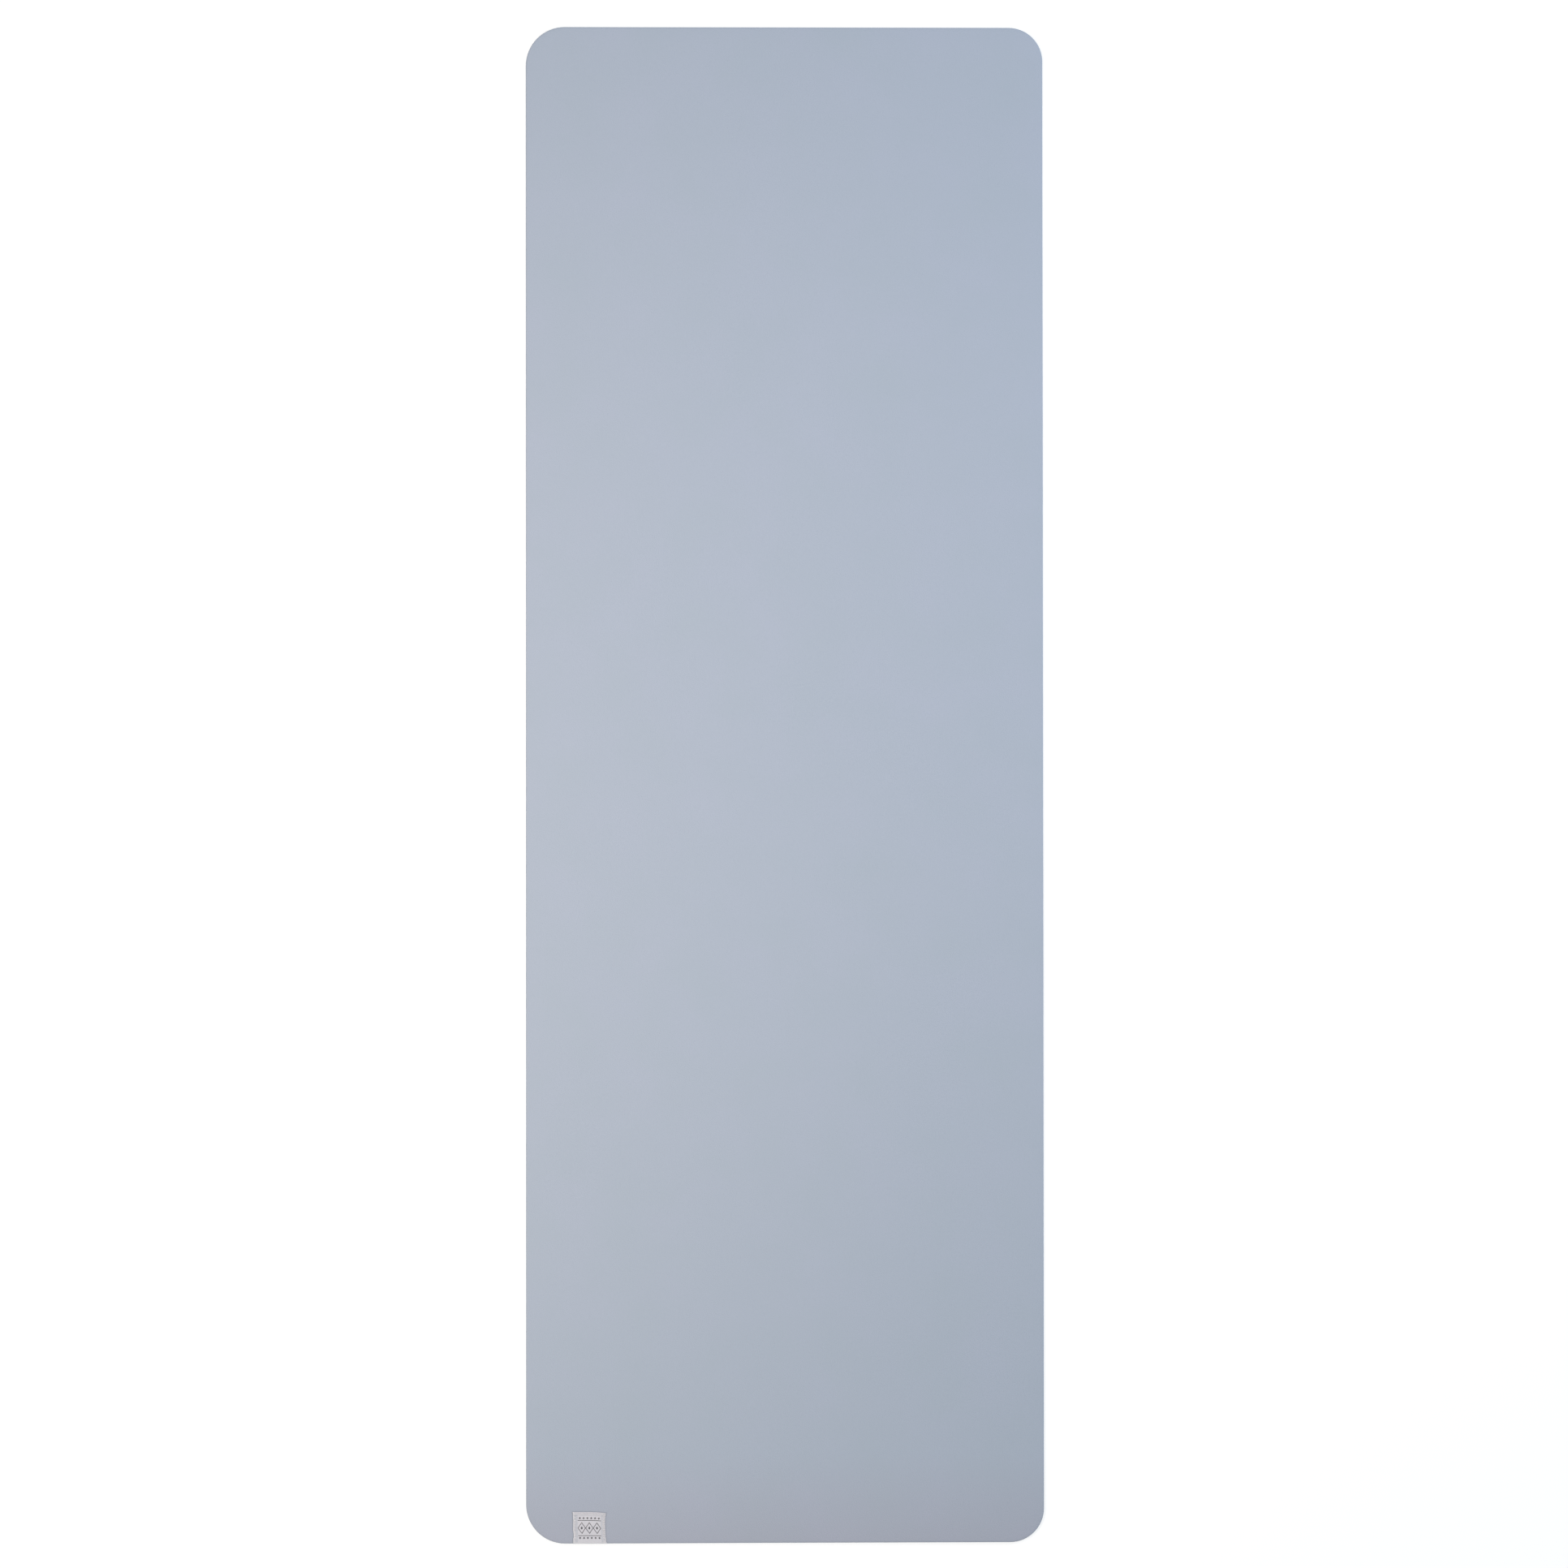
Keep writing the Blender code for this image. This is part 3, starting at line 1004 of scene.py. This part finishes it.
def add_yarn(shape, start, end, height):
    """Add one flat yarn to a bmesh, from one point of the mat to another."""
    first = Vector((start[0], start[1] + mat_centre_y, height))
    last = Vector((end[0], end[1] + mat_centre_y, height))
    long = (last - first).length
    steps = max(1, math.ceil(long / yarn_step))
    if abs(last.y - first.y) > abs(last.x - first.x):
        verts = add_grid(shape, 1, steps, yarn_width, long)
    else:
        verts = add_grid(shape, steps, 1, long, yarn_width)
    bmesh.ops.translate(shape, vec=(first + last) / 2, verts=verts)


def arc_points(centre, radius, start, turn, steps):
    """Points along an arc from the angle start, through the angle turn."""
    points = []
    for step in range(steps + 1):
        angle = start + turn * step / steps
        points.append((centre[0] + radius * math.cos(angle), centre[1] + radius * math.sin(angle)))
    return points


def label_path():
    """The middle line of the label's cloth, as points (y, z), from its tucked end to its back end."""
    over = mat_thick + label_gap + label_thick / 2
    hem_over = over + label_thick + label_gap
    fold = (hem_over - over) / 2
    back = label_low.z + label_thick / 2
    end = near_end_y - label_gap - label_thick / 2
    tip = label_high.y
    quarter = math.pi / 2
    points = [(tip - label_hem, over)]
    points += arc_points((tip - fold, over + fold), fold, -quarter, 2 * quarter, label_bend_steps)
    points.append((tip - label_hem - label_gap, hem_over))
    for share in hem_ramp_shares:
        height = hem_over + (over - hem_over) * ease(share)
        points.append((tip - label_hem - share * hem_ramp, height))
    points.append((tip - label_hem - hem_ramp, over))
    for height, start in ((over - label_bend, quarter), (back + label_bend, 2 * quarter)):
        points += arc_points((end + label_bend, height), label_bend, start, quarter, label_bend_steps)
    points.append((tip, back))
    spaced = [points[0]]
    for start, stop in zip(points, points[1:]):
        count = max(1, math.ceil(math.dist(start, stop) / label_row_step))
        for step in range(1, count + 1):
            share = step / count
            spaced.append(tuple(a + (b - a) * share for a, b in zip(start, stop)))
    return spaced


def stitch_places():
    """Where the needle goes through, from the first stitch at the left to the last at the right."""
    left = label_low.x + stitch_side_inset
    right = label_high.x - stitch_side_inset
    low = near_end_y + first_stitch
    high = label_high.y - stitch_end_inset
    side_stitches = round((high - low) / stitch_pitch)
    hem_stitches = round((right - left) / stitch_pitch)
    corners = ((left, low), (left, high), (right, high), (right, low))
    places = [Vector(corners[0])]
    for start, end, count in zip(corners, corners[1:], (side_stitches, hem_stitches, side_stitches)):
        for step in range(1, count + 1):
            places.append(Vector(start).lerp(Vector(end), step / count))
    width = label_high.x - label_low.x
    return [Vector(place_on_label((place.x - label_low.x) / width, place.y)) for place in places]


def pull_at(x, y, places):
    """How far the nearest stitch pulls the label's cloth into the mat."""
    nearest = min((place - Vector((x, y))).length for place in places)
    return stitch_pull * math.exp(-(nearest / stitch_pull_radius) ** 2)


def make_label(material):
    """Make the woven label."""
    path = label_path()
    places = stitch_places()
    rows = len(path) - 1
    width = label_high.x - label_low.x
    shape = bmesh.new()
    cloth = shape.verts.layers.float_vector.new("cloth_mm")
    add_grid(shape, label_columns, rows)
    lengths = [0]
    for start, stop in zip(path, path[1:]):
        lengths.append(lengths[-1] + math.dist(start, stop))
    # The cloth is measured from the label's tip, where its hem is folded.
    tip_row = min(range(len(path)), key=lambda row: (-path[row][0], abs(path[row][1] - mat_thick)))
    for vert in shape.verts:
        across = vert.co.x
        row = round((vert.co.y + 0.5) * rows)
        x, y = place_on_label(across + 0.5, path[row][0])
        z = path[row][1]
        from_tip = lengths[row] - lengths[tip_row]
        vert[cloth] = (across * width * mm_in_metre, from_tip * mm_in_metre, 0)
        if z > mat_thick:
            free = max(0, 1 + outside_label(x, y) / stitch_side_inset)
            ripple = noise.noise(Vector((x, y, 0)) * label_ripple_scale)
            z += label_ripple * (1 + ripple) - pull_at(x, y, places)
            z += label_edge_lift * free * free - press(x, y)
        vert.co = (x, y, z)
    settle(shape)
    label = finish_piece(
        "label_cloth", shape, material, "woven_label", cloth_sharp_angle
    )
    give_thickness(label, label_thick)


def thread_line(over, inside, side):
    """The thread's centre line, over the cloth where side is 1 and under it where side is -1.

    over(x, y) is its height where it lies on the cloth, and inside is the height where it turns.
    """
    places = stitch_places()
    line = []
    for start, end in zip(places, places[1:]):
        along = (end - start).normalized()
        first = start + along * strand_offset
        last = end - along * strand_offset
        long = (last - first).length
        line.append((*first, inside))
        for place, sink in zip(bow_place_shares, bow_sink_shares):
            point = first + along * long * place
            line.append((*point, over(point.x, point.y) - side * sink * thread_radius))
        line.append((*last, inside))
    return line


def make_thread(name, line, material, replaced):
    """Make a three-ply thread as one tube with a lobed, twisting section."""
    section_data = bpy.data.curves.new("ply_section", "CURVE")
    section = section_data.splines.new("POLY")
    section.points.add(thread_sides - 1)
    for index in range(thread_sides):
        angle = math.tau * index / thread_sides
        radius = thread_radius * (1 - ply_depth_share * (1 - math.cos(ply_count * angle)) / 2)
        section.points[index].co = (radius * math.cos(angle), radius * math.sin(angle), 0, 1)
    section.use_cyclic_u = True
    section_object = add_object("ply_section", section_data)
    data = bpy.data.curves.new(name, "CURVE")
    data.dimensions = "3D"
    data.resolution_u = thread_resolution
    data.bevel_mode = "OBJECT"
    data.bevel_object = section_object
    data.use_fill_caps = True
    data.twist_mode = "MINIMUM"
    spline = data.splines.new("BEZIER")
    spline.bezier_points.add(len(line) - 1)
    spline.tilt_interpolation = "LINEAR"
    travelled = 0
    for index, (point, place) in enumerate(zip(spline.bezier_points, line)):
        if index > 0:
            travelled += math.dist(place, line[index - 1])
        point.co = place
        point.handle_left_type = "AUTO"
        point.handle_right_type = "AUTO"
        point.tilt = math.tau * travelled / ply_turn_length
    guide = add_object(name, data)
    bpy.context.view_layer.update()
    evaluated = guide.evaluated_get(bpy.context.evaluated_depsgraph_get())
    tube = bpy.data.meshes.new_from_object(evaluated)
    shape = bmesh.new()
    shape.from_mesh(tube)
    bpy.data.objects.remove(guide)
    bpy.data.objects.remove(section_object)
    bmesh.ops.remove_doubles(shape, verts=shape.verts, dist=weld_reach)
    settle(shape)
    finish_piece(name, shape, material, replaced, cloth_sharp_angle)


def make_seam(material):
    """Make the needle thread on top of the label and the bobbin thread under it."""
    places = stitch_places()
    hem_start = label_high.y - label_hem
    meet = (label_high.z + label_low.z) / 2

    def on_top(x, y):
        climb = clamp((place_before_pull(x, y)[1] - hem_start + hem_ramp) / hem_ramp)
        cloth = mat_thick + label_gap + label_thick + climb * (label_thick + label_gap)
        return cloth + label_ripple - pull_at(x, y, places) - press(x, y) + thread_radius

    def below(x, y):
        return label_low.z - thread_radius

    turn = thread_radius + label_gap
    needle_line = thread_line(on_top, meet + turn, 1)
    bobbin_line = thread_line(below, meet - turn, -1)
    make_thread("needle_thread_ply", needle_line, material, "needle_thread")
    make_thread("bobbin_thread_ply", bobbin_line, material, "bobbin_thread")


def seen_straight(tree):
    """Whether a ray shows the surroundings themselves: to the camera, in gloss or through glass."""
    path = add_node(tree, "ShaderNodeLightPath")
    mirrored = add_node(
        tree, "ShaderNodeMath",
        {0: path.outputs["Is Glossy Ray"], 1: path.outputs["Is Transmission Ray"]}, operation="ADD"
    )
    shown = add_node(
        tree, "ShaderNodeMath", {0: path.outputs["Is Camera Ray"], 1: mirrored},
        operation="ADD", use_clamp=True
    )
    return shown


def make_floor():
    """A plain white floor that keeps the mat's shadow."""
    material = bpy.data.materials.new("white_floor")
    material.use_nodes = True
    tree = material.node_tree
    tree.nodes.clear()
    # Where it is seen most of its white is its own, so no light makes it glare at the mat's edge.
    shown = seen_straight(tree)
    shade = add_node(
        tree, "ShaderNodeMix", {"Factor": shown, 6: linear("#E8E8E8"), 7: linear("#959595")},
        data_type="RGBA"
    )
    paint = add_node(tree, "ShaderNodeBsdfDiffuse", {"Color": shade.outputs[2]})
    glow = add_node(tree, "ShaderNodeMath", {0: shown, 1: floor_glow}, operation="MULTIPLY")
    white = add_node(tree, "ShaderNodeEmission", {"Color": linear("#FFFFFF"), "Strength": glow})
    both = add_node(tree, "ShaderNodeAddShader", {0: paint, 1: white})
    add_node(tree, "ShaderNodeOutputMaterial", {"Surface": both})
    shape = bmesh.new()
    add_grid(shape, 1, 1, 2 * floor_reach, 2 * floor_reach)
    floor = add_mesh_object("floor", shape, material)


def make_world():
    """A plain white surround that lights evenly and shows as white."""
    world = bpy.data.worlds.new("studio")
    bpy.context.scene.world = world
    world.use_nodes = True
    tree = world.node_tree
    tree.nodes.clear()
    shown = seen_straight(tree)
    level = add_node(
        tree, "ShaderNodeMapRange", {"Value": shown, "To Min": ambient_strength, "To Max": 1}
    )
    colour = add_node(
        tree, "ShaderNodeMix", {"Factor": shown, 6: linear(ambient_colour), 7: linear("#FFFFFF")},
        data_type="RGBA"
    )
    sky = add_node(tree, "ShaderNodeBackground", {"Color": colour.outputs[2], "Strength": level})
    add_node(tree, "ShaderNodeOutputWorld", {"Surface": sky})


def add_softbox(name, place, power, colour):
    """Add a square soft light that faces straight down."""
    data = bpy.data.lights.new(name, "AREA")
    data.shape = "SQUARE"
    data.size = softbox_side
    data.energy = power
    data.color = linear(colour)[:3]
    light = add_object(name, data)
    light.location = place
    light.visible_camera = False


def make_lights():
    """Soft studio light: warmer from the left, cooler from the right."""
    make_world()
    add_softbox("left_near_softbox", left_near_place, left_near_power, "#FFEEDF")
    add_softbox("left_far_softbox", left_far_place, left_far_power, "#FFEDE5")
    add_softbox("right_softbox", right_place, right_power, "#D7E7FF")


def make_camera():
    """A camera over the mat, as in the photograph."""
    data = bpy.data.cameras.new("camera")
    data.lens = camera_lens
    data.clip_end = camera_reach
    camera = add_object("camera", data)
    camera.location = camera_place
    camera.rotation_euler = Euler(camera_turn, "XYZ")
    bpy.context.scene.camera = camera


def make_mat():
    """Make every piece of the mat."""
    skin = grip_skin_material()
    upper_rubber = foam_material("upper_foam_rubber", "#AEB6C2", "#8D95A3")
    lower_rubber = foam_material("lower_foam_rubber", "#A7AFBC", "#868E9C")
    cloth = layer_cloth_material()
    thread = thread_material()
    face = make_layer(
        "grip_skin", cloth_high.z + hair_gap, mat_thick, skin, "top_grip_skin",
        round_top=True
    )
    backing = make_layer(
        "backing_cloth", cloth_low.z, cloth_high.z, cloth, "skin_backing_cloth"
    )
    upper = make_layer(
        "upper_foam_pad", scrim_middle + hair_gap, cloth_low.z - hair_gap, upper_rubber,
        "upper_foam", foam=True
    )
    lower = make_lower_foam(lower_rubber)
    make_scrim(yarn_material())
    make_label(label_material())
    make_seam(thread)


make_camera()
make_lights()
make_floor()
make_mat()
bpy.context.scene.view_settings.view_transform = "Standard"
